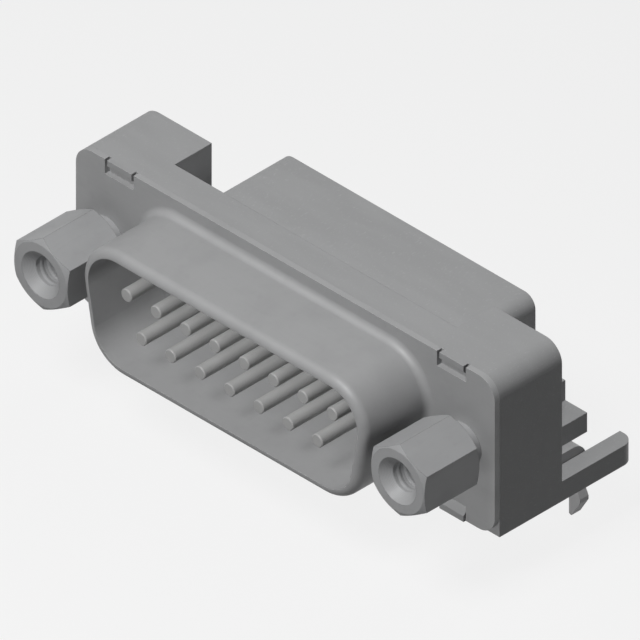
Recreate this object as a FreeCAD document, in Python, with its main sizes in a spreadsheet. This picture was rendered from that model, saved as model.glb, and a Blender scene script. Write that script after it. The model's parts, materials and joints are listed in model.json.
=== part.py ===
"""Right-angle 15-way D-subminiature plug for a circuit board, with hex screwlocks and board locks.

The pieces are drawn about the shell's own axis: X across the connector, Y from the flange's front face
towards the rear, Z up. Every piece is then placed so that the origin lies on the board's surface, midway
between the two board locks. Lengths are in millimetres and angles in degrees.
"""

import FreeCAD, Part
import math
import os
import Sketcher

DOC = FreeCAD.newDocument("dsub_plug")

# Each driving size is written once, and everything that fits it reads the same cell.
SIZES = {
    # front shell: one drawn and pressed sheet
    "flange_width": 39.1,
    "flange_height": 12.4,
    "flange_sheet": 0.45,
    "flange_corner": 1.5,
    "shell_reach": 5.84,
    "shell_mid_width": 24.67,
    "shell_inner_height": 8.36,
    "shell_wall": 0.67,
    "shell_side_angle": 10,
    "shell_inner_corner": 2.6,
    "shell_lip_round": 0.64,
    "shell_root_round": 0.56,
    "notch_centre": 15.5,
    "notch_width": 2.7,
    "notch_depth": 1.18,
    # screwlocks: hex standoffs that clamp the flange and take the plug's screws
    "screw_spacing": 33.32,
    "hex_across_flats": 5.0,
    "hex_length": 5.2,
    "hex_face_diameter": 4.83,
    "hex_bevel_angle": 30,
    "shoulder_diameter": 3.3,
    "shoulder_length": 1.0,
    "shank_diameter": 2.84,
    "shank_length": 4.6,
    "tapping_diameter": 2.16,
    "tapping_depth": 5.5,
    "countersink_diameter": 3.5,
    "drill_point_angle": 59,
    "screw_clearance": 0.1,
    "thread_clearance": 0.02,
    # housing: moulded frame behind the flange, with two arms that lie on the board
    "axis_height": 6.4,
    "housing_depth": 5.83,
    "housing_corner": 1.5,
    "bay_width": 26.3,
    "bay_height": 10.4,
    "bar_depth": 2.37,
    "tab_height": 0.47,
    "sill_depth": 1.1,
    "tab_clearance": 0.22,
    "arm_length": 6.8,
    "arm_width": 1.4,
    "arm_height": 1.6,
    "arm_corner": 1.0,
    "barb_clearance": 0.1,
    "barb_relief_height": 0.4,
    # insulator: the moulding that holds the contacts, hooded over their leads
    "fit_clearance": 0.05,
    "recess_depth": 2.1,
    "block_depth": 2.37,
    "hood_width": 23.6,
    "hood_top": 3.58,
    "hood_rear": 11.55,
    "hood_corner": 1.0,
    "hood_wall": 0.9,
    "hood_rear_wall": 0.45,
    "contact_wall": 2.9,
    "board_gap": 0.2,
    "base_width": 30.82,
    "base_top": -0.9,
    "base_rear": 10.73,
    "ear_span": 34.88,
    "ear_thickness": 1.55,
    "ear_length": 3.9,
    "guide_thickness": 1.0,
    # contacts: turned pins with bent leads, in two rows
    "pitch": 2.74,
    "row_spacing": 2.84,
    "pin_diameter": 1.0,
    "pin_reach": 5.27,
    "pin_tip_bevel": 0.06,
    "collar_diameter": 1.5,
    "collar_length": 0.6,
    "lead_diameter": 0.6,
    "lead_bend": 0.9,
    "lead_row_spacing": 2.84,
    "rear_lead_row": 10.5,
    "lead_reach": 3.2,
    "lead_tip_bevel": 0.1,
    "hole_clearance": 0.02,
    # board locks: bent strips, tapped for the screwlocks, with barbed tines that go through the board
    "lock_sheet": 0.8,
    "lock_centre": 9.57,
    "lock_plate_width": 5.0,
    "lock_plate_top": 2.6,
    "lock_plate_bottom": 2.0,
    "lock_neck_slope": 1.0,
    "lock_width": 2.86,
    "strap_top": 2.34,
    "lock_inner_bend": 0.4,
    "tapped_collar_diameter": 4.0,
    "tapped_collar_length": 1.2,
    "tine_slot": 1.28,
    "tine_slot_top": 0.2,
    "barb_bulge": 0.25,
    "barb_start": 1.45,
    "barb_top": 1.95,
    "barb_land": 0.3,
    "barb_round": 0.2,
    "tine_reach": 3.62,
    "tine_tip": 0.23,
    "tine_tip_round": 0.12,
}

TOP_ROW_CONTACTS = 8
BOTTOM_ROW_CONTACTS = 7

HEXAGON = 6

sheet = DOC.addObject("Spreadsheet::Sheet", "Sizes")
for row, (alias, size) in enumerate(SIZES.items(), start=1):
    sheet.set(f"A{row}", alias)
    sheet.set(f"B{row}", str(size))
    sheet.setAlias(f"B{row}", alias)
DOC.recompute()

# Places that several pieces share, each worked out from the sheet's cells.
FLANGE_BACK = "Sizes.flange_sheet"
HOUSING_REAR = "(Sizes.flange_sheet + Sizes.housing_depth)"
HALF_BAY = "Sizes.bay_width / 2"
BOARD = "(0 - Sizes.axis_height)"
RECESS_FLOOR = "(Sizes.flange_sheet + Sizes.recess_depth)"
CAVITY_FRONT = f"({RECESS_FLOOR} + Sizes.contact_wall)"
CAVITY_REAR = "(Sizes.hood_rear - Sizes.hood_rear_wall)"
CAVITY_HALF_WIDTH = "(Sizes.hood_width / 2 - Sizes.hood_wall)"
MOULDING_FOOT = f"({BOARD} + Sizes.board_gap)"
STRAP_TOP = f"({BOARD} + Sizes.strap_top)"
STRAP_UNDERSIDE = f"({STRAP_TOP} - Sizes.lock_sheet)"
LOCK_REAR = "(Sizes.lock_centre + Sizes.lock_sheet / 2)"
FRONT_LEAD_ROW = "(Sizes.rear_lead_row - Sizes.lead_row_spacing)"
SCREW_X = "Sizes.screw_spacing / 2"


def number(expression):
    """The value that an expression on the sheet's cells has now."""
    found = sheet.evalExpression(expression)
    return float(getattr(found, "Value", found))


def point(pair):
    """A sketch point from a pair of expressions."""
    return FreeCAD.Vector(number(pair[0]), number(pair[1]), 0)


def new_body(label):
    """An empty body, placed from the shell's axis to the part's own origin."""
    body = DOC.addObject("PartDesign::Body", label)
    body.Label = label
    seat(body)
    return body


def seat(piece, x="0"):
    """Moves a finished piece from the shell's axis to its place over the board."""
    piece.setExpression("Placement.Base.x", x)
    piece.setExpression("Placement.Base.y", "0 - Sizes.lock_centre")
    piece.setExpression("Placement.Base.z", "Sizes.axis_height")


def new_sketch(body, role, level="0"):
    """A sketch on one of the body's own planes, moved along Y, Z or X to the given level."""
    sketch = body.newObject("Sketcher::SketchObject", f"{body.Label}_sketch")
    plane = next(o for o in body.Origin.OriginFeatures if o.Role == role)
    sketch.AttachmentSupport = [(plane, "")]
    sketch.MapMode = "FlatFace"
    way = "0 - " if role == "XZ_Plane" else ""
    sketch.setExpression("AttachmentOffset.Base.z", f"{way}({level})")
    return sketch


def pin_point(sketch, index, end, pair):
    """Holds one end of a sketch element at a pair of expressions."""
    for kind, expression in zip(("DistanceX", "DistanceY"), pair):
        held = sketch.addConstraint(
            Sketcher.Constraint(kind, -1, 1, index, end, number(expression))
        )
        sketch.setExpression(f"Constraints[{held}]", expression)


def add_polygon(sketch, corners):
    """Adds a closed outline of straight lines through the corners."""
    first = sketch.GeometryCount
    count = len(corners)
    for i in range(count):
        start, end = point(corners[i]), point(corners[(i + 1) % count])
        sketch.addGeometry(Part.LineSegment(start, end))
    for i in range(count):
        following = first + (i + 1) % count
        sketch.addConstraint(Sketcher.Constraint("Coincident", first + i, 2, following, 1))
        pin_point(sketch, first + i, 1, corners[i])


def add_circle(sketch, centre, radius):
    """Adds a circle at a pair of expressions."""
    circle = Part.Circle(point(centre), FreeCAD.Vector(0, 0, 1), number(radius))
    index = sketch.addGeometry(circle)
    pin_point(sketch, index, 3, centre)
    held = sketch.addConstraint(Sketcher.Constraint("Radius", index, number(radius)))
    sketch.setExpression(f"Constraints[{held}]", radius)


def add_rounded(sketch, corners, radius):
    """Adds a closed outline whose corners, listed anticlockwise, are all rounded."""
    count, r = len(corners), number(radius)
    places = [point(corner) for corner in corners]
    entries, exits, centres = [], [], []
    for i, place in enumerate(places):
        back, on = (places[i - 1] - place).normalize(), (places[(i + 1) % count] - place).normalize()
        half_angle = back.getAngle(on) / 2
        entries.append(place + back * (r / math.tan(half_angle)))
        exits.append(place + on * (r / math.tan(half_angle)))
        centres.append(place + (back + on).normalize() * (r / math.sin(half_angle)))
    marks = []
    for place, corner in zip(places, corners):
        marks.append(sketch.addGeometry(Part.Point(place), True))
        pin_point(sketch, marks[-1], 1, corner)
    lines = []
    for i in range(count):
        line = Part.LineSegment(exits[i], entries[(i + 1) % count])
        lines.append(sketch.addGeometry(line))
    for i in range(count):
        for mark in (marks[i], marks[(i + 1) % count]):
            sketch.addConstraint(Sketcher.Constraint("PointOnObject", mark, 1, lines[i]))
    for i in range(count):
        ring = Part.Circle(centres[i], FreeCAD.Vector(0, 0, 1), r)
        first, last = (ring.parameter(end) for end in (entries[i], exits[i]))
        arc = sketch.addGeometry(Part.ArcOfCircle(ring, first, last))
        sketch.addConstraint(Sketcher.Constraint("Tangent", lines[i - 1], 2, arc, 1))
        sketch.addConstraint(Sketcher.Constraint("Tangent", arc, 2, lines[i], 1))
        held = sketch.addConstraint(Sketcher.Constraint("Radius", arc, r))
        sketch.setExpression(f"Constraints[{held}]", radius)


def rectangle(left, right, low, high):
    """The four corners between two levels each way."""
    return [(left, low), (right, low), (right, high), (left, high)]


def mirrored(half):
    """A closed outline from its right half, listed from bottom to top."""
    return half + [(f"0 - ({x})", y) for x, y in reversed(half)]


def feature(body, kind, sketch, **lengths):
    """A feature on a sketch, its lengths bound to the sheet. The tip moves to it."""
    made = body.newObject(f"PartDesign::{kind}", f"{body.Label}_{kind.lower()}")
    made.Profile = sketch
    for name, expression in lengths.items():
        made.setExpression(name, expression)
    sketch.Visibility = False
    return made


def pad_rearwards(body, corners, front, length, radius=None):
    """Solid with this outline, from the level front towards the rear, its corners rounded or sharp."""
    sketch = new_sketch(body, "XZ_Plane", front)
    if radius:
        add_rounded(sketch, corners, radius)
    else:
        add_polygon(sketch, corners)
    made = feature(body, "Pad", sketch, Length=length)
    made.Reversed = True
    DOC.recompute()
    return made


def cut_rearwards(body, outlines, front, length, circles=(), radius=None):
    """Cuts outlines and circles from the level front towards the rear, and makes sure that they cut."""
    before = body.Shape.Volume
    sketch = new_sketch(body, "XZ_Plane", front)
    for corners in outlines:
        if radius:
            add_rounded(sketch, corners, radius)
        else:
            add_polygon(sketch, corners)
    for centre, radius in circles:
        add_circle(sketch, centre, radius)
    made = feature(body, "Pocket", sketch, Length=length)
    DOC.recompute()
    if body.Shape.Volume > before - 1e-6:
        made.Reversed = True
        DOC.recompute()
    if body.Shape.Volume > before - 1e-6:
        raise RuntimeError(f"{made.Name} cuts nothing")
    return made


def turn(body, kind, corners):
    """A full turn of an outline in the YZ plane about the Y axis, added or taken away."""
    sketch = new_sketch(body, "YZ_Plane")
    add_polygon(sketch, corners)
    made = feature(body, kind, sketch)
    made.ReferenceAxis = (sketch, ["H_Axis"])
    made.Angle = 360
    DOC.recompute()
    return made


def edges_that(shape, test):
    """Names of a shape's edges that pass a test on their two ends."""
    names = []
    for i, edge in enumerate(shape.Edges, start=1):
        if len(edge.Vertexes) == 2 and test(edge, *[v.Point for v in edge.Vertexes]):
            names.append(f"Edge{i}")
    return names


def soften(body, kind, names, **lengths):
    """A fillet or a chamfer on the named edges of the body's tip."""
    if not names:
        raise RuntimeError(f"{body.Label} has no edge for its {kind}")
    base = body.Tip
    made = body.newObject(f"PartDesign::{kind}", f"{body.Label}_{kind.lower()}")
    made.Base = (base, names)
    for name, expression in lengths.items():
        made.setExpression(name, expression)
    DOC.recompute()
    if made.Shape.isNull() or not made.Shape.isValid():
        raise RuntimeError(f"{body.Label}: its {kind} failed")
    return made


def near(a, b, within=1e-4):
    return abs(a - b) < within


def along(axis):
    """A test for straight edges along X, Y or Z (0, 1 or 2)."""

    def test(edge, a, b):
        others = [i for i in range(3) if i != axis]
        return all(near(a[i], b[i]) for i in others)

    return test


def dee(outset="0"):
    """The connector's D outline with sharp corners, offset outwards: wide above, narrow below."""
    angle = "Sizes.shell_side_angle * 1 deg"
    half_height = f"(Sizes.shell_inner_height / 2 + {outset})"
    mid = f"(Sizes.shell_mid_width / 2 + {outset} / cos({angle}))"
    wide = f"({mid} + {half_height} * tan({angle}))"
    narrow = f"({mid} - {half_height} * tan({angle}))"
    return mirrored([(narrow, f"0 - {half_height}"), (wide, half_height)])


def local_shape(body):
    """The body's tip shape, before its placement."""
    return body.Tip.Shape


def notch_places():
    """Left and right, upper and lower: the signs of the flange's four notches."""
    return [(side, level) for side in (-1, 1) for level in (1, -1)]


def make_front_shell():
    """Flange and D-shaped skirt, drawn from one sheet."""
    body = new_body("front_shell")
    half_width = "Sizes.flange_width / 2"
    half_height = "Sizes.flange_height / 2"
    plate = rectangle(f"0 - {half_width}", half_width, f"0 - {half_height}", half_height)
    pad_rearwards(body, plate, "0", "Sizes.flange_sheet")
    corners = edges_that(local_shape(body), along(1))
    soften(body, "Fillet", corners, Radius="Sizes.flange_corner")

    front = "(0 - Sizes.shell_reach)"
    outer_corner = "Sizes.shell_inner_corner + Sizes.shell_wall"
    pad_rearwards(body, dee("Sizes.shell_wall"), front, "Sizes.shell_reach", outer_corner)
    high, wide = number(half_height), number(half_width)
    reach = number(front)

    def skirt_edge(level):
        def test(edge, a, b):
            inside = max(abs(a.z), abs(b.z)) < high - 0.1 and max(abs(a.x), abs(b.x)) < wide - 0.1
            return near(a.y, level) and near(b.y, level) and inside

        return test

    root = edges_that(local_shape(body), skirt_edge(0.0))
    soften(body, "Fillet", root, Radius="Sizes.shell_root_round")
    lip = edges_that(local_shape(body), skirt_edge(reach))
    soften(body, "Fillet", lip, Radius="Sizes.shell_lip_round")

    through = "Sizes.shell_reach + Sizes.flange_sheet"
    cut_rearwards(body, [dee()], front, through, radius="Sizes.shell_inner_corner")

    notches = []
    for side, level in notch_places():
        middle = f"{side} * Sizes.notch_centre"
        left, right = f"{middle} - Sizes.notch_width / 2", f"{middle} + Sizes.notch_width / 2"
        rim = f"{level} * Sizes.flange_height / 2"
        floor = f"{level} * (Sizes.flange_height / 2 - Sizes.notch_depth)"
        notches.append(rectangle(left, right, floor, rim))
    holes = [
        ((f"{side} * {SCREW_X}", "0"), "Sizes.shank_diameter / 2 + Sizes.screw_clearance")
        for side in (-1, 1)
    ]
    cut_rearwards(body, notches, "0", "Sizes.flange_sheet", holes)
    return body


def lock_outline(grow):
    """Right half of the board lock's plate, upwards from its neck, grown by a clearance."""
    wide = f"(Sizes.lock_plate_width / 2 + {grow})"
    narrow = f"(Sizes.lock_width / 2 + {grow})"
    slope_end = "(0 - Sizes.lock_plate_bottom - Sizes.lock_neck_slope)"
    return [
        (narrow, f"{slope_end} - {grow}"),
        (wide, f"0 - Sizes.lock_plate_bottom - {grow}"),
        (wide, f"Sizes.lock_plate_top + {grow}"),
    ]


def shifted(corners, x):
    """The same outline, moved across by an expression."""
    return [(f"({px}) + {x}", py) for px, py in corners]


def make_housing():
    """Moulded frame: two end blocks, two thin bars, locating tabs, arms, and pockets for the locks."""
    body = new_body("housing")
    half = "Sizes.flange_width / 2"
    top = "Sizes.flange_height / 2"
    outline = rectangle(f"0 - {half}", half, BOARD, top)
    pad_rearwards(body, outline, FLANGE_BACK, "Sizes.housing_depth")

    upper = number(top)

    def top_corner(edge, a, b):
        return along(1)(edge, a, b) and near(a.z, upper)

    top_edges = edges_that(local_shape(body), top_corner)
    soften(body, "Fillet", top_edges, Radius="Sizes.housing_corner")

    bay = rectangle(f"0 - {HALF_BAY}", HALF_BAY, f"{BOARD} - 1", f"{top} + 1")
    behind_bars = f"{FLANGE_BACK} + Sizes.bar_depth"
    cut_rearwards(body, [bay], behind_bars, "Sizes.housing_depth - Sizes.bar_depth")
    half_window = "Sizes.bay_height / 2"
    window = rectangle(f"0 - {HALF_BAY}", HALF_BAY, f"0 - {half_window}", half_window)
    cut_rearwards(body, [window], FLANGE_BACK, "Sizes.bar_depth")

    for side in (-1, 1):
        arm = new_sketch(body, "XY_Plane", BOARD)
        outer, inner = f"{side} * {half}", f"{side} * ({half} - Sizes.arm_width)"
        rear = f"{HOUSING_REAR} + Sizes.arm_length"
        add_polygon(arm, rectangle(inner, outer, f"{HOUSING_REAR} - 1", rear))
        feature(body, "Pad", arm, Length="Sizes.arm_height")
        DOC.recompute()

    arm_rear, half_width = number(rear), number(half)

    def arm_corner(edge, a, b):
        return along(2)(edge, a, b) and near(a.y, arm_rear) and near(abs(a.x), half_width)

    arm_edges = edges_that(local_shape(body), arm_corner)
    soften(body, "Fillet", arm_edges, Radius="Sizes.arm_corner")

    barb = "(Sizes.lock_width / 2 + Sizes.barb_bulge + Sizes.barb_clearance)"
    barb_front = f"{LOCK_REAR} - Sizes.lock_sheet - Sizes.barb_clearance"
    barb_rear = f"{LOCK_REAR} + Sizes.barb_clearance"
    for side in (-1, 1):
        place = rectangle(f"0 - {barb}", barb, barb_front, barb_rear)
        relief = new_sketch(body, "XY_Plane", BOARD)
        add_polygon(relief, shifted(place, f"{side} * {SCREW_X}"))
        made = feature(body, "Pocket", relief, Length="Sizes.barb_relief_height")
        made.Reversed = True
        DOC.recompute()

    for side, level in notch_places():
        make_tab(body, side, level)
    for side in (-1, 1):
        cut_lock_seat(body, f"{side} * {SCREW_X}")
    return body


def make_tab(body, side, level):
    """A tab that fills one notch of the flange, flush with its front, with a sloped inner side."""
    rim = "Sizes.flange_height / 2" if level > 0 else BOARD
    inner = f"{rim} - {level} * Sizes.tab_height"
    root = f"{inner} - {level} * Sizes.flange_sheet"
    tab = new_sketch(body, "YZ_Plane", f"{side} * Sizes.notch_centre")
    behind = f"{FLANGE_BACK} + Sizes.tab_height"
    add_polygon(tab, [(behind, rim), ("0", rim), ("0", inner), (FLANGE_BACK, root), (behind, root)])
    made = feature(body, "Pad", tab, Length="Sizes.notch_width - 2 * Sizes.tab_clearance")
    made.Midplane = True
    DOC.recompute()


def cut_lock_seat(body, x):
    """Pocket for a board lock's plate, its strap's channel, and the bores behind its tapped hole.

    The channel is open below, except for a sill in front that carries the lower tab.
    """
    clearance = "Sizes.fit_clearance"
    plate = lock_outline(clearance)
    neck = f"(Sizes.lock_width / 2 + {clearance})"
    underside = f"{STRAP_UNDERSIDE} - {clearance}"
    recess = mirrored([(neck, underside)] + plate)
    cut_rearwards(body, [shifted(recess, x)], FLANGE_BACK, f"Sizes.lock_sheet + {clearance}")
    channel = rectangle(f"0 - {neck}", neck, underside, f"{STRAP_TOP} + {clearance}")
    behind_plate = f"{FLANGE_BACK} + Sizes.lock_sheet"
    cut_rearwards(body, [shifted(channel, x)], behind_plate, "Sizes.housing_depth")
    opening = rectangle(f"0 - {neck}", neck, f"{BOARD} - {clearance}", STRAP_TOP)
    behind_sill = f"{FLANGE_BACK} + Sizes.sill_depth"
    cut_rearwards(body, [shifted(opening, x)], behind_sill, "Sizes.housing_depth")
    bend = f"Sizes.lock_inner_bend + {clearance}"
    bend_relief = rectangle(f"0 - {neck}", neck, STRAP_TOP, f"{STRAP_TOP} + {bend}")
    cut_rearwards(body, [shifted(bend_relief, x)], behind_plate, bend)
    collar = ((x, "0"), f"Sizes.tapped_collar_diameter / 2 + {clearance}")
    collar_depth = f"Sizes.tapped_collar_length + {clearance}"
    cut_rearwards(body, [], behind_plate, collar_depth, [collar])
    shank = ((x, "0"), "Sizes.shank_diameter / 2 + Sizes.screw_clearance")
    shank_depth = f"Sizes.shank_length + {clearance}"
    cut_rearwards(body, [], "0", shank_depth, [shank])


def contact_places():
    """Name, X, height and lead row of each contact, numbered along the top row and then the lower one."""
    places = []
    rows = (
        (TOP_ROW_CONTACTS, "Sizes.row_spacing / 2", "Sizes.rear_lead_row"),
        (BOTTOM_ROW_CONTACTS, "0 - Sizes.row_spacing / 2", FRONT_LEAD_ROW),
    )
    for count, height, lead_row in rows:
        for i in range(count):
            across = f"{i - (count - 1) / 2} * Sizes.pitch"
            places.append((f"contact_{len(places) + 1:02d}", across, height, lead_row))
    return places


def make_insulator():
    """Moulding that carries the contacts: D recess in front, hood over the leads, base and ears."""
    body = new_body("insulator")
    half_block = f"({HALF_BAY} - Sizes.fit_clearance)"
    half_high = "(Sizes.bay_height / 2 - Sizes.fit_clearance)"
    block = rectangle(f"0 - {half_block}", half_block, f"0 - {half_high}", half_high)
    pad_rearwards(body, block, FLANGE_BACK, "Sizes.block_depth")

    hood_front = f"{FLANGE_BACK} + Sizes.block_depth"
    half_hood = "Sizes.hood_width / 2"
    hood = rectangle(f"0 - {half_hood}", half_hood, MOULDING_FOOT, "Sizes.hood_top")
    pad_rearwards(body, hood, hood_front, f"Sizes.hood_rear - ({hood_front})")
    hood_top = number("Sizes.hood_top")

    def hood_edge(edge, a, b):
        return along(1)(edge, a, b) and near(a.z, hood_top)

    soften(body, "Fillet", edges_that(local_shape(body), hood_edge), Radius="Sizes.hood_corner")

    half_base = "Sizes.base_width / 2"
    base_front = f"{HOUSING_REAR} + Sizes.fit_clearance"
    beside_strap = f"({SCREW_X} - Sizes.lock_width / 2 - Sizes.fit_clearance)"
    base = [
        (beside_strap, MOULDING_FOOT),
        (beside_strap, STRAP_TOP),
        (half_base, STRAP_TOP),
        (half_base, "Sizes.base_top"),
    ]
    pad_rearwards(body, mirrored(base), base_front, f"Sizes.base_rear - ({base_front})")
    half_ears = "Sizes.ear_span / 2"
    ears = rectangle(
        f"0 - {half_ears}", half_ears, STRAP_TOP, f"{STRAP_TOP} + Sizes.ear_thickness"
    )
    pad_rearwards(body, ears, "Sizes.base_rear - Sizes.ear_length", "Sizes.ear_length")

    cavity = new_sketch(body, "XY_Plane", MOULDING_FOOT)
    half_cavity = CAVITY_HALF_WIDTH
    add_polygon(cavity, rectangle(f"0 - {half_cavity}", half_cavity, CAVITY_FRONT, CAVITY_REAR))
    before = body.Shape.Volume
    hollow_depth = f"Sizes.hood_top - Sizes.hood_wall - {MOULDING_FOOT}"
    hollow = feature(body, "Pocket", cavity, Length=hollow_depth)
    hollow.Reversed = True
    DOC.recompute()
    if body.Shape.Volume > before - 1:
        raise RuntimeError("the hood isn't hollow")

    inner_corner = "Sizes.shell_inner_corner"
    cut_rearwards(body, [dee()], FLANGE_BACK, "Sizes.recess_depth", radius=inner_corner)
    centres = [(across, height) for _, across, height, _ in contact_places()]
    pin_hole = "Sizes.pin_diameter / 2 + Sizes.hole_clearance"
    collar_hole = "Sizes.collar_diameter / 2 + Sizes.hole_clearance"
    pin_holes = [(centre, pin_hole) for centre in centres]
    cut_rearwards(body, [], RECESS_FLOOR, "Sizes.contact_wall", pin_holes)
    collar_front = f"{CAVITY_FRONT} - Sizes.collar_length"
    collar_holes = [(centre, collar_hole) for centre in centres]
    cut_rearwards(body, [], collar_front, "Sizes.collar_length", collar_holes)
    return body


def make_lead_guide():
    """Plate that closes the hood's underside and holds each lead where the board's holes are."""
    body = new_body("lead_guide")
    sketch = new_sketch(body, "XY_Plane", MOULDING_FOOT)
    half = f"({CAVITY_HALF_WIDTH} - Sizes.fit_clearance)"
    front, rear = f"{CAVITY_FRONT} + Sizes.fit_clearance", f"{CAVITY_REAR} - Sizes.fit_clearance"
    add_polygon(sketch, rectangle(f"0 - {half}", half, front, rear))
    for _, across, _, lead_row in contact_places():
        add_circle(sketch, (across, lead_row), "Sizes.lead_diameter / 2 + Sizes.hole_clearance")
    feature(body, "Pad", sketch, Length="Sizes.guide_thickness")
    DOC.recompute()
    return body


def make_contact(name, across, height, lead_row):
    """Turned pin with a collar, and a thinner lead that bends down through the board."""
    body = new_body(name)
    seat(body, across)
    body.setExpression("Placement.Base.z", f"Sizes.axis_height + {height}")
    tip, pin = "0 - Sizes.pin_reach", "Sizes.pin_diameter / 2"
    collar_start, collar_end = f"{CAVITY_FRONT} - Sizes.collar_length", CAVITY_FRONT
    collar, lead = "Sizes.collar_diameter / 2", "Sizes.lead_diameter / 2"
    lead_end = f"{lead_row} - Sizes.lead_bend"
    profile = [
        (tip, "0"),
        (tip, f"{pin} - Sizes.pin_tip_bevel"),
        (f"{tip} + Sizes.pin_tip_bevel", pin),
        (collar_start, pin),
        (collar_start, collar),
        (collar_end, collar),
        (collar_end, lead),
        (lead_end, lead),
        (lead_end, "0"),
    ]
    turn(body, "Revolution", profile)

    path = new_sketch(body, "YZ_Plane")
    bend = number("Sizes.lead_bend")
    row = number(lead_row)
    below = f"0 - ({height} + Sizes.axis_height + Sizes.lead_reach)"
    centre = FreeCAD.Vector(row - bend, -bend, 0)
    quarter = Part.Circle(centre, FreeCAD.Vector(0, 0, 1), bend)
    arc = path.addGeometry(Part.ArcOfCircle(quarter, 0, number("pi / 2")))
    low_end = FreeCAD.Vector(row, number(below), 0)
    fall = path.addGeometry(Part.LineSegment(FreeCAD.Vector(row, -bend, 0), low_end))
    pin_point(path, arc, 3, (lead_end, "0 - Sizes.lead_bend"))
    pin_point(path, arc, 2, (lead_end, "0"))
    path.addConstraint(Sketcher.Constraint("Tangent", arc, 1, fall, 1))
    pin_point(path, fall, 2, (lead_row, below))
    ring = new_sketch(body, "XZ_Plane", lead_end)
    add_circle(ring, ("0", "0"), lead)
    pipe = feature(body, "AdditivePipe", ring)
    pipe.Spine = (path, ["Edge1", "Edge2"])
    DOC.recompute()
    lowest = local_shape(body).BoundBox.ZMin
    ends = [
        f"Edge{i}"
        for i, edge in enumerate(local_shape(body).Edges, start=1)
        if near(edge.BoundBox.ZMax, lowest, 1e-3)
    ]
    soften(body, "Chamfer", ends, Size="Sizes.lead_tip_bevel")
    return body


def make_screwlock(name, side):
    """Hex standoff: bevelled hexagon, shoulder and threaded shank, tapped and countersunk in front."""
    body = new_body(name)
    seat(body, f"{side} * {SCREW_X}")
    back = "(0 - Sizes.shoulder_length)"
    front = f"({back} - Sizes.hex_length)"
    corner = "Sizes.hex_across_flats / 2 / cos(30 deg)"
    corners = []
    for i in range(HEXAGON):
        angle = 360 / HEXAGON * (i + 0.5)
        corners.append((f"{corner} * cos({angle} deg)", f"{corner} * sin({angle} deg)"))
    pad_rearwards(body, corners, front, "Sizes.hex_length")

    face, outside = "Sizes.hex_face_diameter / 2", "Sizes.hex_across_flats"
    slope = f"({outside} - {face}) * tan(Sizes.hex_bevel_angle * 1 deg)"
    turn(body, "Groove", [(front, face), (front, outside), (f"{front} + {slope}", outside)])
    turn(body, "Groove", [(back, face), (back, outside), (f"{back} - {slope}", outside)])

    shoulder, shank = "Sizes.shoulder_diameter / 2", "Sizes.shank_diameter / 2"
    end = "Sizes.shank_length"
    bevel = "Sizes.shank_diameter / 8"
    stem = [
        (f"{back} - Sizes.shoulder_length / 2", "0"),
        (f"{back} - Sizes.shoulder_length / 2", shoulder),
        ("0", shoulder),
        ("0", shank),
        (f"{end} - {bevel}", shank),
        (end, f"{shank} - {bevel}"),
        (end, "0"),
    ]
    turn(body, "Revolution", stem)

    sink, tapping = "Sizes.countersink_diameter / 2", "Sizes.tapping_diameter / 2"
    bottom = f"{front} + Sizes.tapping_depth"
    hole = [
        (front, "0"),
        (front, sink),
        (f"{front} + {sink} - {tapping}", tapping),
        (bottom, tapping),
        (f"{bottom} + {tapping} / tan(Sizes.drill_point_angle * 1 deg)", "0"),
    ]
    turn(body, "Groove", hole)
    return body


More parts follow.
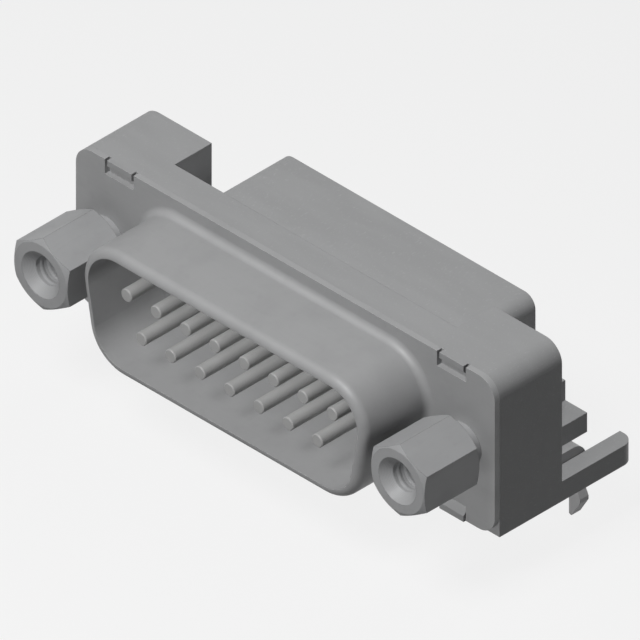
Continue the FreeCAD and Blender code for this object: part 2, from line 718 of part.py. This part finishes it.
def make_board_lock(name, side):
    """Bent strip: tapped plate behind the flange, strap to the rear, and two barbed tines below."""
    strip = DOC.addObject("PartDesign::Body", f"{name}_strip")
    plate_back = f"({FLANGE_BACK} + Sizes.lock_sheet)"
    tines_front = f"({LOCK_REAR} - Sizes.lock_sheet)"
    low = f"{BOARD} - Sizes.tine_reach - 1"
    high = "Sizes.lock_plate_top + 1"
    bent = new_sketch(strip, "YZ_Plane")
    side_view = [
        (FLANGE_BACK, high),
        (FLANGE_BACK, STRAP_UNDERSIDE),
        (tines_front, STRAP_UNDERSIDE),
        (tines_front, low),
        (LOCK_REAR, low),
        (LOCK_REAR, STRAP_TOP),
        (plate_back, STRAP_TOP),
        (plate_back, high),
    ]
    add_polygon(bent, side_view)
    wide = feature(strip, "Pad", bent, Length="Sizes.lock_plate_width * 2")
    wide.Midplane = True
    DOC.recompute()
    levels = {
        "Sizes.lock_inner_bend": [(plate_back, STRAP_TOP), (tines_front, STRAP_UNDERSIDE)],
        "Sizes.lock_inner_bend + Sizes.lock_sheet": [
            (FLANGE_BACK, STRAP_UNDERSIDE),
            (LOCK_REAR, STRAP_TOP),
        ],
    }
    for radius, places in levels.items():
        wanted = [(number(y), number(z)) for y, z in places]

        def bend_line(edge, a, b):
            return along(0)(edge, a, b) and any(near(a.y, y) and near(a.z, z) for y, z in wanted)

        soften(strip, "Fillet", edges_that(local_shape(strip), bend_line), Radius=radius)

    collar, hole = "Sizes.tapped_collar_diameter / 2", "Sizes.shank_diameter / 2"
    collar_end = f"{plate_back} + Sizes.tapped_collar_length"
    start = f"{plate_back} - Sizes.lock_sheet / 2"
    turn(strip, "Revolution", rectangle(start, collar_end, "0", collar))
    tapped = f"{hole} + Sizes.thread_clearance"
    turn(strip, "Groove", rectangle("0", f"{collar_end} + 1", "0", tapped))

    blank = DOC.addObject("PartDesign::Body", f"{name}_blank")
    bulge = "(Sizes.lock_width / 2 + Sizes.barb_bulge)"
    half_slot = "Sizes.tine_slot / 2"
    barb_low = f"{BOARD} - Sizes.barb_top - Sizes.barb_land"
    tip = f"{BOARD} - Sizes.tine_reach"
    half = [
        (half_slot, f"{BOARD} - Sizes.tine_slot_top"),
        (half_slot, f"{tip} + Sizes.tine_tip / 2"),
        (f"{half_slot} + Sizes.tine_tip", tip),
        (bulge, barb_low),
        (bulge, f"{BOARD} - Sizes.barb_top"),
        ("Sizes.lock_width / 2", f"{BOARD} - Sizes.barb_start"),
    ]
    pad_rearwards(blank, mirrored(half + lock_outline("0")), "0", "Sizes.hood_rear")
    plate_top = number("Sizes.lock_plate_top")

    def plate_corner(edge, a, b):
        return along(1)(edge, a, b) and near(a.z, plate_top)

    plate_corners = edges_that(local_shape(blank), plate_corner)
    soften(blank, "Fillet", plate_corners, Radius="Sizes.lock_plate_width / 8")
    barb, point_x = number(bulge), number(f"{half_slot} + Sizes.tine_tip")

    def barb_corner(edge, a, b):
        return along(1)(edge, a, b) and near(abs(a.x), barb)

    def tip_corner(edge, a, b):
        return along(1)(edge, a, b) and near(abs(a.x), point_x) and near(a.z, number(tip))

    barbs = edges_that(local_shape(blank), barb_corner)
    soften(blank, "Fillet", barbs, Radius="min(Sizes.barb_round; Sizes.barb_land / 2)")
    tips = edges_that(local_shape(blank), tip_corner)
    soften(blank, "Fillet", tips, Radius="Sizes.tine_tip_round")

    lock = DOC.addObject("Part::Common", name)
    lock.Label = name
    lock.Base = strip
    lock.Tool = blank
    seat(lock, f"{side} * {SCREW_X}")
    DOC.recompute()
    return lock


def check(pieces):
    """Stops if anything in the document failed, or a piece isn't one valid solid."""
    for thing in DOC.Objects:
        if {"Invalid", "Error"} & set(thing.State):
            raise RuntimeError(f"{thing.Name} failed: {thing.State}")
    for piece in pieces:
        shape = piece.Shape
        if shape.isNull() or not shape.isValid() or len(shape.Solids) != 1:
            raise RuntimeError(f"{piece.Label} isn't one valid solid")


def main():
    pieces = [make_front_shell(), make_housing(), make_insulator(), make_lead_guide()]
    for place in contact_places():
        pieces.append(make_contact(*place))
    for word, side in (("left", -1), ("right", 1)):
        pieces.append(make_screwlock(f"screwlock_{word}", side))
        pieces.append(make_board_lock(f"board_lock_{word}", side))
    DOC.recompute()
    check(pieces)
    os.makedirs("parts", exist_ok=True)
    for piece in pieces:
        piece.Shape.exportStep(f"parts/{piece.Label}.step")
        print(f"{piece.Label:18s} {piece.Shape.Volume:9.3f} mm3")


main()
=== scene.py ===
"""Dresses a right-angle D-shaped plug for a circuit board in its metal, plastic and thread."""

import json
import math

import bmesh
import bpy
from bpy.props import FloatProperty, FloatVectorProperty, IntProperty, PointerProperty
from bpy.types import Operator, Panel, PropertyGroup
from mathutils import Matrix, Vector

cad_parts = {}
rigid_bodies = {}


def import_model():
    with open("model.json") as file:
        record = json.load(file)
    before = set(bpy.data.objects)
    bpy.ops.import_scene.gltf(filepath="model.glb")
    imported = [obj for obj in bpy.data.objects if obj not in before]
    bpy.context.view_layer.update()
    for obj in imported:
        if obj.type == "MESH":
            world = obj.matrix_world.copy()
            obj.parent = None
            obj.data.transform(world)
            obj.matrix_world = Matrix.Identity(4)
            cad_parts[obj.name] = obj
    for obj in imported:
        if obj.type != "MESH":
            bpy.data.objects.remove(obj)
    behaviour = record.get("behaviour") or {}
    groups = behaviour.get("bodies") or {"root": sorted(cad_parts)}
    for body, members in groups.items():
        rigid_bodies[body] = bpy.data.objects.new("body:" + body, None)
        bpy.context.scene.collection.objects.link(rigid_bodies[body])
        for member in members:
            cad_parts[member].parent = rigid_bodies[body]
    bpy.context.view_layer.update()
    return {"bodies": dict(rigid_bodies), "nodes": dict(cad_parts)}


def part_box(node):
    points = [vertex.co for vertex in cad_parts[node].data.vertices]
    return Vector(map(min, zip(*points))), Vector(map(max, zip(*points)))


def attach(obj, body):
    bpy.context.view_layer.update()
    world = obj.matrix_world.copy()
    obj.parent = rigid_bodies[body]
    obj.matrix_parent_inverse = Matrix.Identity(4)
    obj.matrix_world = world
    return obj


bl_info = {
    "name": "Right-angle D plug",
    "version": (1, 0, 0),
    "blender": (4, 5, 0),
    "location": "3D View > Sidebar > D plug",
    "description": "Finishes the packed plug: plating, plastic, tapped bores and a plain studio",
    "category": "Object",
}

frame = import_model()
NODES = frame["nodes"]
MM = 0.001

HEX_LOW, HEX_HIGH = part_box("screwlock_right")
SCREW_X = (HEX_LOW.x + HEX_HIGH.x) / 2
AXIS_Z = (HEX_LOW.z + HEX_HIGH.z) / 2
FLANGE_FRONT_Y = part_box("housing")[0].y

# Each lamp's place and the length of its side, in metres
KEY_LAMP = ((0.01, -0.15, 0.24), 0.09)
HIGH_LAMP = ((0.0, 0.20, 0.25), 0.3)
BACK_LAMP = ((0.0, 0.90, 0.12), 0.3)

FLOOR_REACH = 0.6
CAMERA_DISTANCE = 0.3
PICTURE_MIDDLE = 3.235 * MM  # behind the flange's front, on the axis
CAMERA_RANGE = (0.001, 5.0)

WALL_BITE = 0.02 * MM  # how far the thread's foot is sunk in the bore's wall
RIDGE_HALF_WIDTH = 0.42  # share of the pitch

# Cells of the finishes' patterns along X, Y and Z
PATCH_CELL = (4 * MM, 5 * MM, 4 * MM)
SMUDGE_CELL = (0.7 * MM, 0.9 * MM, 0.7 * MM)
DRIFT_CELL = (0.8 * MM, 0.25 * MM, 0.8 * MM)
FLOW_CELL = (6 * MM, 1.6 * MM, 2.4 * MM)
FIBRE_CELL = (0.07 * MM, 0.30 * MM, 0.07 * MM)

# Depth of the finishes' reliefs, and how strongly they turn the light
LINE_HEIGHT, LINE_STRENGTH = 0.007 * MM, 0.7
PIT_HEIGHT, PIT_STRENGTH = 0.012 * MM, 0.8

# How much of the dulled, paler or fleck tone each trait brings in
PATCH_DULLS, SMUDGE_DULLS, LINES_DULL = 0.16, 0.10, 0.16
FLOW_SHOWS, FIBRES_SHOW = 0.6, 0.5

# How far each trait raises or lowers the roughness
PATCH_ROUGHENS, SMUDGE_ROUGHENS, LINES_ROUGHEN = 0.09, 0.05, 0.08
PITS_ROUGHEN, FLOW_ROUGHENS = 0.22, 0.06
EDGE_SMOOTHS, FIBRES_SMOOTH = 0.06, 0.05

# Specular level of the plating and of the plastic
METAL_GLOSS, PLASTIC_GLOSS = 0.18, 0.25

RUBBED_BRIGHTER = 1.22
FLOW_PALER = 1.10
WHITE = (1.0, 1.0, 1.0, 1.0)


def length(name, description, millimetres, low=0.0):
    """A size that the sidebar shows in the scene's own unit."""
    return FloatProperty(
        name=name,
        description=description,
        default=millimetres * MM,
        min=low * MM,
        precision=5,
        unit="LENGTH",
        subtype="DISTANCE",
    )


def colour(name, description, red, green, blue):
    return FloatVectorProperty(
        name=name,
        description=description,
        default=(red, green, blue, 1.0),
        min=0.0,
        max=1.0,
        size=4,
        subtype="COLOR",
    )


def share(name, description, default, high=1.0):
    return FloatProperty(name=name, description=description, default=default, min=0.0, max=high)


class PlatingSettings(PropertyGroup):
    """Colours and grain of the plated metal."""

    shell: colour("Shell", "Tin plating of the flange and the D-shaped skirt", 0.385, 0.387, 0.39)
    contact: colour("Contacts", "Plating of the pins and their leads", 0.45, 0.45, 0.446)
    screwlock: colour("Screwlocks", "Nickel plating of the hex standoffs", 0.39, 0.393, 0.398)
    strip: colour("Board locks", "Tin plating of the bent strips", 0.45, 0.45, 0.454)
    dulling: colour("Dulled tone", "Where handling has dulled the plating", 0.25, 0.25, 0.255)
    roughness: share("Roughness", "Roughness of clean plating", 0.5)
    grain: length("Grain width", "Width of the rolling and drawing lines", 0.07)
    line_length: FloatProperty(
        name="Line length", description="Length of a line in grain widths", default=60.0, min=1.0
    )
    turning: length("Turning pitch", "Distance between the lathe's fine rings", 0.07)
    metallic: share("Metallic", "Share of bare metal in what the dull plating reflects", 0.13)
    wear: share("Edge wear", "How bright the rubbed edges are", 0.35)
    edge: length("Edge radius", "How far a punched edge is rounded over", 0.045)
    hex_edge: length("Hex edge radius", "How far a standoff's edge is rounded over", 0.065)
    hex_worn: colour("Hex worn tone", "Darker metal on a standoff's worn edges", 0.11, 0.11, 0.112)
    hex_wear: share("Hex wear", "How much of the darker metal shows", 0.85)


class MouldingSettings(PropertyGroup):
    """Colours and texture of the moulded plastic."""

    housing: colour("Housing", "Glass-filled plastic of the outer frame", 0.325, 0.327, 0.330)
    insulator: colour("Insulator", "Plastic that carries the contacts", 0.330, 0.332, 0.335)
    fleck: colour("Glass flecks", "Short fibres that show in the surface", 0.43, 0.433, 0.438)
    roughness: share("Roughness", "Roughness of the moulded surface", 0.5)
    texture: length("Texture size", "Size of the spark-eroded texture", 0.13)
    wear: share("Edge wear", "How much the fibres show on rubbed edges", 0.35)
    edge: length("Edge radius", "How far a moulded edge is rounded over", 0.07)


class ThreadSettings(PropertyGroup):
    """The tapped bores of the screwlocks."""

    pitch: length("Pitch", "Distance between two turns", 0.635)
    bore_radius: length("Bore radius", "Radius of the tapped bore's wall", 1.08)
    crest: length("Crest height", "How far the thread stands in from the wall", 0.05)
    sink: length("Countersink depth", "Depth at which the thread starts", 0.62)
    run: length("Threaded depth", "Length of bore that the thread covers", 4.3)
    segments: IntProperty(
        name="Segments", description="Steps in one turn of the thread", default=36, min=12, max=128
    )


class StageSettings(PropertyGroup):
    """Floor, light and camera."""

    floor_drop: length("Floor below the board", "Height of the board's face over the floor", 4.2)
    floor: colour("Floor", "Pale floor and backdrop", 0.75, 0.75, 0.75)
    bounce: colour("Floor bounce", "Grey that the floor throws back at the plug", 0.16, 0.16, 0.16)
    floor_glow: share("Floor glow", "Share of plain white where the floor is seen", 0.72)
    backdrop: colour("Backdrop", "Pale room round the plug and in its metal", 0.9, 0.9, 0.9)
    sky: colour("Room", "Light that comes from all round", 0.92, 0.95, 1.0)
    sky_strength: share("Room light", "Strength of the light from all round", 0.035, 5.0)
    key_strength: share("Key light", "Strength of the lamp above the front", 2.65, 20.0)
    key_shadow: share("Key shadow", "Share of the key light that throws a shadow", 0.22)
    sky_lamp_strength: share("High light", "Strength of the wide lamp high behind", 0.15, 20.0)
    back_strength: share("Back light", "Strength of the low lamp behind the plug", 1.2, 20.0)
    view_width: length("View width", "Width that the picture takes in", 42.24)
    azimuth: FloatProperty(
        name="Azimuth",
        description="Camera's turn to the plug's right",
        default=math.radians(45),
        subtype="ANGLE",
    )
    elevation: FloatProperty(
        name="Elevation",
        description="Camera's height over the horizon",
        default=math.atan(math.sqrt(0.5)),
        subtype="ANGLE",
    )


class PlugSettings(PropertyGroup):
    """All that a user would change."""

    plating: PointerProperty(type=PlatingSettings)
    moulding: PointerProperty(type=MouldingSettings)
    thread: PointerProperty(type=ThreadSettings)
    stage: PointerProperty(type=StageSettings)


class Signal:
    """A node's output, which Python's operators turn into Math nodes."""

    def __init__(self, finish, socket):
        self.finish = finish
        self.socket = socket

    def math(self, operation, *values):
        """A Math node on these values or links."""
        sockets = dict(enumerate(values))
        return self.finish.node("ShaderNodeMath", {"operation": operation}, sockets)

    def __add__(self, other):
        return self.math("ADD", self, other)

    __radd__ = __add__

    def __mul__(self, other):
        return self.math("MULTIPLY", self, other)

    __rmul__ = __mul__

    def __sub__(self, other):
        return self.math("SUBTRACT", self, other)

    def __rsub__(self, other):
        return self.math("SUBTRACT", other, self)

    def __pow__(self, other):
        return self.math("POWER", self, other)

    def __abs__(self):
        return self.math("ABSOLUTE", self)

    def clipped(self, low, high):
        """0 below low, 1 above high, and smooth between them."""
        settings = {"interpolation_type": "SMOOTHSTEP"}
        return self.finish.node("ShaderNodeMapRange", settings, {0: self, 1: low, 2: high})


class Finish:
    """A material, or the world's light where that is given, built from nodes."""

    def __init__(self, name, world=None):
        self.material = world or bpy.data.materials.new(name)
        self.material.use_nodes = True
        self.tree = self.material.node_tree
        self.tree.nodes.clear()

    def node(self, kind, settings=None, sockets=None, output=0):
        """Adds a node, sets it up, fills its sockets with values or links, and gives one output."""
        made = self.tree.nodes.new(kind)
        for name, value in (settings or {}).items():
            setattr(made, name, value)
        for name, value in (sockets or {}).items():
            if isinstance(value, Signal):
                self.tree.links.new(value.socket, made.inputs[name])
            else:
                made.inputs[name].default_value = value
        return Signal(self, made.outputs[output])

    def place(self):
        """The point on the object, in metres."""
        return self.node("ShaderNodeTexCoord", output="Object")

    def parts(self, vector):
        """A vector's three numbers."""
        made = self.node("ShaderNodeSeparateXYZ", sockets={0: vector})
        outputs = made.socket.node.outputs
        return [Signal(self, outputs[i]) for i in range(3)]

    def stretched(self, vector, sizes):
        """A place scaled so that a pattern's cells have these sizes along X, Y and Z."""
        scale = tuple(1.0 / size for size in sizes)
        settings = {"operation": "MULTIPLY"}
        return self.node("ShaderNodeVectorMath", settings, {0: vector, 1: scale})

    def noise(self, vector, sizes, detail=2.0, roughness=0.5):
        """An uneven pattern with cells of these sizes."""
        sockets = {
            "Vector": self.stretched(vector, sizes),
            "Scale": 1.0,
            "Detail": detail,
            "Roughness": roughness,
        }
        return self.node("ShaderNodeTexNoise", {}, sockets, "Fac")

    def mix(self, factor, first, second):
        """One colour turning into another."""
        settings = {"data_type": "RGBA"}
        sockets = {0: factor, 6: first, 7: second}
        return self.node("ShaderNodeMix", settings, sockets, 2)

    def rounded(self, radius):
        """The surface's direction with its sharp edges rounded over."""
        return self.node("ShaderNodeBevel", {"samples": 4}, {"Radius": radius})

    def edges(self, soft):
        """1 on a sharp edge, 0 on open faces."""
        flat = self.node("ShaderNodeNewGeometry", output="Normal")
        settings = {"operation": "DOT_PRODUCT"}
        level = self.node("ShaderNodeVectorMath", settings, {0: soft, 1: flat}, "Value")
        return (1.0 - level).clipped(0.005, 0.12)

    def bump(self, height, distance, strength, normal):
        """This direction with a fine relief on it."""
        sockets = {"Height": height, "Distance": distance, "Strength": strength}
        return self.node("ShaderNodeBump", {}, {**sockets, "Normal": normal})

    def surface(self, **sockets):
        """The material's shader and its output."""
        names = {name.replace("_", " "): value for name, value in sockets.items()}
        shader = self.node("ShaderNodeBsdfPrincipled", {}, names)
        self.node_output(shader)
        return self.material

    def node_output(self, shader, kind="ShaderNodeOutputMaterial"):
        """Ends the node tree in this shader."""
        made = self.tree.nodes.new(kind)
        self.tree.links.new(shader.socket, made.inputs["Surface"])
        return self.material

    def shown(self):
        """1 where the camera sees this, straight on or in a glossy surface or through glass."""
        rays = self.node("ShaderNodeLightPath").socket.node.outputs
        kinds = ("Is Camera Ray", "Is Glossy Ray", "Is Transmission Ray")
        camera, glossy, through = [Signal(self, rays[kind]) for kind in kinds]
        either = camera.math("MAXIMUM", camera, glossy)
        return either.math("MAXIMUM", either, through)

    def mix_shaders(self, factor, first, second):
        """One shader turning into another."""
        return self.node("ShaderNodeMixShader", {}, {0: factor, 1: first, 2: second})


def plated(name, tone, settings, grain_along, relief, worn=None):
    """Plated metal: worked lines, faint dull patches, and edges rubbed bright or worn dark."""
    bright = tuple(min(1.0, c * RUBBED_BRIGHTER) for c in tone[:3]) + (1.0,)
    radius, rubbed, wear = worn or (settings.edge, bright, settings.wear)
    finish = Finish(name)
    place = finish.place()
    soft = finish.rounded(radius)
    edge = finish.edges(soft)
    lines = relief(finish, place, settings, grain_along)
    patches = finish.noise(place, PATCH_CELL, detail=3.0, roughness=0.6).clipped(0.42, 0.72)
    smudge = finish.noise(place, SMUDGE_CELL, detail=4.0, roughness=0.65).clipped(0.5, 0.78)
    dull = patches * PATCH_DULLS + smudge * SMUDGE_DULLS
    body = finish.mix(dull, tone, settings.dulling)
    streaked = finish.mix(lines * LINES_DULL, body, settings.dulling)
    painted = finish.mix(edge * wear, streaked, rubbed)
    roughness = settings.roughness + patches * PATCH_ROUGHENS + smudge * SMUDGE_ROUGHENS
    roughness = roughness + (lines - 0.5) * LINES_ROUGHEN
    return finish.surface(
        Base_Color=painted,
        Metallic=settings.metallic,
        Specular_IOR_Level=METAL_GLOSS,
        Roughness=roughness - edge * EDGE_SMOOTHS,
        Normal=finish.bump(lines, LINE_HEIGHT, LINE_STRENGTH, soft),
    )


def rolled_lines(finish, place, settings, along):
    """Fine straight lines with broader ones among them, all long in one direction."""
    sizes = [settings.grain] * 3
    sizes[along] = settings.grain * settings.line_length
    fine = finish.noise(place, sizes, detail=3.0, roughness=0.6)
    broad = finish.noise(place, [size * 4 for size in sizes])
    return fine * 0.6 + broad * 0.4


def turned_lines(finish, place, settings, along):
    """Rings that a lathe leaves along the Y axis, a little uneven."""
    _, depth, _ = finish.parts(place)
    drift = finish.noise(place, DRIFT_CELL)
    phase = depth * (2 * math.pi / settings.turning) + drift * 5.0
    return phase.math("SINE", phase) * 0.5 + 0.5


def hex_lines(finish, place, settings, along):
    """Drawn lines along the hexagon's flats, and turned rings on its two ends."""
    across, _, height = finish.parts(place)
    away = abs(across) - SCREW_X
    up = height - AXIS_Z
    radius = (away * away + up * up) ** 0.5
    phase = radius * (2 * math.pi / settings.turning)
    rings = phase.math("SINE", phase) * 0.5 + 0.5
    direction = finish.node("ShaderNodeNewGeometry", output="Normal")
    _, facing, _ = finish.parts(direction)
    ends = abs(facing).clipped(0.2, 0.6)
    drawn = rolled_lines(finish, place, settings, along)
    return rings * ends + drawn * (1.0 - ends)


def moulded(name, tone, settings):
    """Glass-filled plastic: eroded texture, flecks of fibre, flow marks and rounded edges."""
    finish = Finish(name)
    place = finish.place()
    soft = finish.rounded(settings.edge)
    edge = finish.edges(soft)
    pits = finish.noise(place, [settings.texture] * 3, detail=3.0, roughness=0.62)
    flow = finish.noise(place, FLOW_CELL).clipped(0.35, 0.7)
    fibres = finish.noise(place, FIBRE_CELL, detail=1.0, roughness=0.4).clipped(0.66, 0.74)
    paler = tuple(c * FLOW_PALER for c in tone[:3]) + (1.0,)
    body = finish.mix(flow * FLOW_SHOWS, tone, paler)
    flecked = finish.mix(fibres * FIBRES_SHOW, body, settings.fleck)
    painted = finish.mix(edge * settings.wear, flecked, settings.fleck)
    roughness = settings.roughness + (pits - 0.5) * PITS_ROUGHEN
    return finish.surface(
        Base_Color=painted,
        Specular_IOR_Level=PLASTIC_GLOSS,
        Roughness=roughness + flow * FLOW_ROUGHENS - fibres * FIBRES_SMOOTH,
        Normal=finish.bump(pits, PIT_HEIGHT, PIT_STRENGTH, soft),
    )


def dress(names, material):
    """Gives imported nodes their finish."""
    for name in names:
        node = NODES[name]
        node.data.materials.clear()
        node.data.materials.append(material)
        for face in node.data.polygons:
            face.material_index = 0


def piece(name, bm, material):
    """Turns a bmesh into a piece of the plug that rides on its one body."""
    mesh = bpy.data.meshes.new(name)
    bm.to_mesh(mesh)
    bm.free()
    mesh.materials.append(material)
    made = bpy.data.objects.new(name, mesh)
    bpy.context.scene.collection.objects.link(made)
    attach(made, "root")
    return made


def named(start):
    """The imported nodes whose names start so."""
    return sorted(name for name in NODES if name.startswith(start))


class DPLUG_OT_shell(Operator):
    """Plates the flange and its D-shaped skirt"""

    bl_idname = "dplug.shell"
    bl_label = "Plate the shell"

    def execute(self, context):
        settings = context.scene.dplug.plating
        material = plated("shell_plating", tuple(settings.shell), settings, 0, rolled_lines)
        dress(["front_shell"], material)
        return {"FINISHED"}


class DPLUG_OT_mouldings(Operator):
    """Finishes the housing, the insulator and the plate that guides the leads"""

    bl_idname = "dplug.mouldings"
    bl_label = "Mould the plastics"

    def execute(self, context):
        settings = context.scene.dplug.moulding
        housing = moulded("housing_plastic", tuple(settings.housing), settings)
        insulator = moulded("insulator_plastic", tuple(settings.insulator), settings)
        dress(["housing"], housing)
        dress(["insulator", "lead_guide"], insulator)
        return {"FINISHED"}


class DPLUG_OT_contacts(Operator):
    """Plates the pins and their bent leads"""

    bl_idname = "dplug.contacts"
    bl_label = "Plate the contacts"

    def execute(self, context):
        settings = context.scene.dplug.plating
        material = plated("contact_plating", tuple(settings.contact), settings, 1, turned_lines)
        dress(named("contact_"), material)
        return {"FINISHED"}


class DPLUG_OT_screwlocks(Operator):
    """Plates the hex standoffs and cuts the thread in their bores"""

    bl_idname = "dplug.screwlocks"
    bl_label = "Finish the screwlocks"

    def execute(self, context):
        settings = context.scene.dplug.plating
        tone = tuple(settings.screwlock)
        worn = (settings.hex_edge, tuple(settings.hex_worn), settings.hex_wear)
        material = plated("screwlock_plating", tone, settings, 1, hex_lines, worn)
        dress(named("screwlock_"), material)
        for word, side in (("left", -1), ("right", 1)):
            ridge = self.ridge(context.scene.dplug.thread, side * SCREW_X)
            piece(f"screw_thread_{word}", ridge, material)
        return {"FINISHED"}

    def ridge(self, settings, x):
        """A triangular ridge wound along the bore's wall, with its ends closed."""
        bm = bmesh.new()
        start = HEX_LOW.y + settings.sink
        radius, half = settings.bore_radius, settings.pitch * RIDGE_HALF_WIDTH
        corners = [
            (radius + WALL_BITE, start),
            (radius - settings.crest, start + half),
            (radius + WALL_BITE, start + 2 * half),
        ]
        verts = [bm.verts.new((x + out, y, AXIS_Z)) for out, y in corners]
        edges = [bm.edges.new((verts[i], verts[(i + 1) % 3])) for i in range(3)]
        turns = (settings.run - 2 * half) / settings.pitch
        steps = round(turns * settings.segments)
        bmesh.ops.spin(
            bm,
            geom=verts + edges,
            cent=(x, start, AXIS_Z),
            axis=(0, 1, 0),
            dvec=(0, settings.pitch * turns / steps, 0),
            angle=2 * math.pi * turns,
            steps=steps,
            use_merge=False,
        )
        bmesh.ops.holes_fill(bm, edges=[e for e in bm.edges if e.is_boundary], sides=3)
        bmesh.ops.recalc_face_normals(bm, faces=bm.faces)
        return bm


class DPLUG_OT_board_locks(Operator):
    """Plates the bent strips and their barbed tines"""

    bl_idname = "dplug.board_locks"
    bl_label = "Plate the board locks"

    def execute(self, context):
        settings = context.scene.dplug.plating
        material = plated("board_lock_plating", tuple(settings.strip), settings, 1, rolled_lines)
        dress(named("board_lock_"), material)
        return {"FINISHED"}


class DPLUG_OT_stage(Operator):
    """Sets the floor, the lamps and the camera"""

    bl_idname = "dplug.stage"
    bl_label = "Set the stage"

    def execute(self, context):
        settings = context.scene.dplug.stage
        self.floor(settings)
        self.room(context, settings)
        self.lamps(settings)
        self.camera(context, settings)
        context.scene.view_settings.view_transform = "Standard"
        return {"FINISHED"}

    def floor(self, settings):
        """A wide pale sheet under the plug, which keeps its shadow and is clear from below."""
        bm = bmesh.new()
        bmesh.ops.create_grid(bm, x_segments=1, y_segments=1, size=FLOOR_REACH)
        bmesh.ops.translate(bm, verts=bm.verts, vec=(0, 0, -settings.floor_drop))
        mesh = bpy.data.meshes.new("floor")
        bm.to_mesh(mesh)
        bm.free()
        floor = bpy.data.objects.new("floor", mesh)
        bpy.context.scene.collection.objects.link(floor)
        finish = Finish("floor_paint")
        tones = (settings.bounce, settings.floor)
        kind = "ShaderNodeBsdfDiffuse"
        bounce, paint = [finish.node(kind, {}, {"Color": tuple(tone)}) for tone in tones]
        white = finish.node("ShaderNodeEmission", {}, {"Color": WHITE, "Strength": 1.0})
        pale = finish.mix_shaders(settings.floor_glow, paint, white)
        lit = finish.mix_shaders(finish.shown(), bounce, pale)
        below = finish.node("ShaderNodeNewGeometry", output="Backfacing")
        clear = finish.node("ShaderNodeBsdfTransparent")
        finish.node_output(finish.mix_shaders(below, lit, clear))
        mesh.materials.append(finish.material)

    def room(self, context, settings):
        """Even light from all round; the camera, metal and plastic see a pale backdrop."""
        finish = Finish("room", bpy.data.worlds.new("room"))
        context.scene.world = finish.material
        kind = "ShaderNodeBackground"
        dim = {"Color": tuple(settings.sky), "Strength": settings.sky_strength}
        light = finish.node(kind, {}, dim)
        pale = finish.node(kind, {}, {"Color": tuple(settings.backdrop), "Strength": 1.0})
        seen = finish.mix_shaders(finish.shown(), light, pale)
        finish.node_output(seen, "ShaderNodeOutputWorld")

    def lamps(self, settings):
        """A lamp above the front, most of it without shadow, and two weaker ones behind."""
        shadowed = settings.key_strength * settings.key_shadow
        self.lamp("key_lamp", KEY_LAMP, shadowed)
        even = self.lamp("even_lamp", KEY_LAMP, settings.key_strength - shadowed)
        even.data.use_shadow = False
        self.lamp("sky_lamp", HIGH_LAMP, settings.sky_lamp_strength)
        back = self.lamp("back_lamp", BACK_LAMP, settings.back_strength)
        back.visible_glossy = False

    def lamp(self, name, stand, level):
        """A square lamp that faces the plug, its power set so that level is its light there."""
        place, size = stand
        data = bpy.data.lights.new(name, "AREA")
        data.shape, data.size = "SQUARE", size
        reach = Vector(place).length
        data.energy = level * math.pi * reach * reach
        lamp = bpy.data.objects.new(name, data)
        lamp.location = place
        lamp.rotation_mode = "QUATERNION"
        lamp.rotation_quaternion = (-Vector(place)).to_track_quat("-Z", "Y")
        bpy.context.scene.collection.objects.link(lamp)
        return lamp

    def camera(self, context, settings):
        """A parallel view from the front right and above, as in the picture."""
        data = bpy.data.cameras.new("camera")
        data.type = "ORTHO"
        data.ortho_scale = settings.view_width
        data.clip_start, data.clip_end = CAMERA_RANGE
        camera = bpy.data.objects.new("camera", data)
        flat = math.cos(settings.elevation)
        back = Vector(
            (
                math.sin(settings.azimuth) * flat,
                -math.cos(settings.azimuth) * flat,
                math.sin(settings.elevation),
            )
        )
        middle = Vector((0.0, FLANGE_FRONT_Y + PICTURE_MIDDLE, AXIS_Z))
        camera.location = middle + back * CAMERA_DISTANCE
        camera.rotation_mode = "QUATERNION"
        camera.rotation_quaternion = (-back).to_track_quat("-Z", "Y")
        context.scene.collection.objects.link(camera)
        context.scene.camera = camera


STEPS = (
    DPLUG_OT_shell,
    DPLUG_OT_mouldings,
    DPLUG_OT_contacts,
    DPLUG_OT_screwlocks,
    DPLUG_OT_board_locks,
    DPLUG_OT_stage,
)


class DPLUG_PT_panel(Panel):
    """Lists the plug's steps and settings"""

    bl_label = "D plug"
    bl_idname = "DPLUG_PT_panel"
    bl_space_type = "VIEW_3D"
    bl_region_type = "UI"
    bl_category = "D plug"

    def draw(self, context):
        for step in STEPS:
            self.layout.operator(step.bl_idname)
        plug = context.scene.dplug
        for group in (plug.plating, plug.moulding, plug.thread, plug.stage):
            box = self.layout.box()
            for name in group.__annotations__:
                box.prop(group, name)


GROUPS = (PlatingSettings, MouldingSettings, ThreadSettings, StageSettings, PlugSettings)


def register():
    for item in (*GROUPS, *STEPS, DPLUG_PT_panel):
        bpy.utils.register_class(item)
    bpy.types.Scene.dplug = PointerProperty(type=PlugSettings)


def unregister():
    del bpy.types.Scene.dplug
    for item in reversed((*GROUPS, *STEPS, DPLUG_PT_panel)):
        bpy.utils.unregister_class(item)


def clear_scene():
    """Takes away what a new file starts with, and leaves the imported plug."""
    keep = set(NODES.values()) | set(frame["bodies"].values())
    for item in list(bpy.data.objects):
        if item not in keep:
            bpy.data.objects.remove(item)


def main():
    register()
    clear_scene()
    bpy.ops.dplug.shell()
    bpy.ops.dplug.mouldings()
    bpy.ops.dplug.contacts()
    bpy.ops.dplug.screwlocks()
    bpy.ops.dplug.board_locks()
    bpy.ops.dplug.stage()


if __name__ == "__main__":
    main()
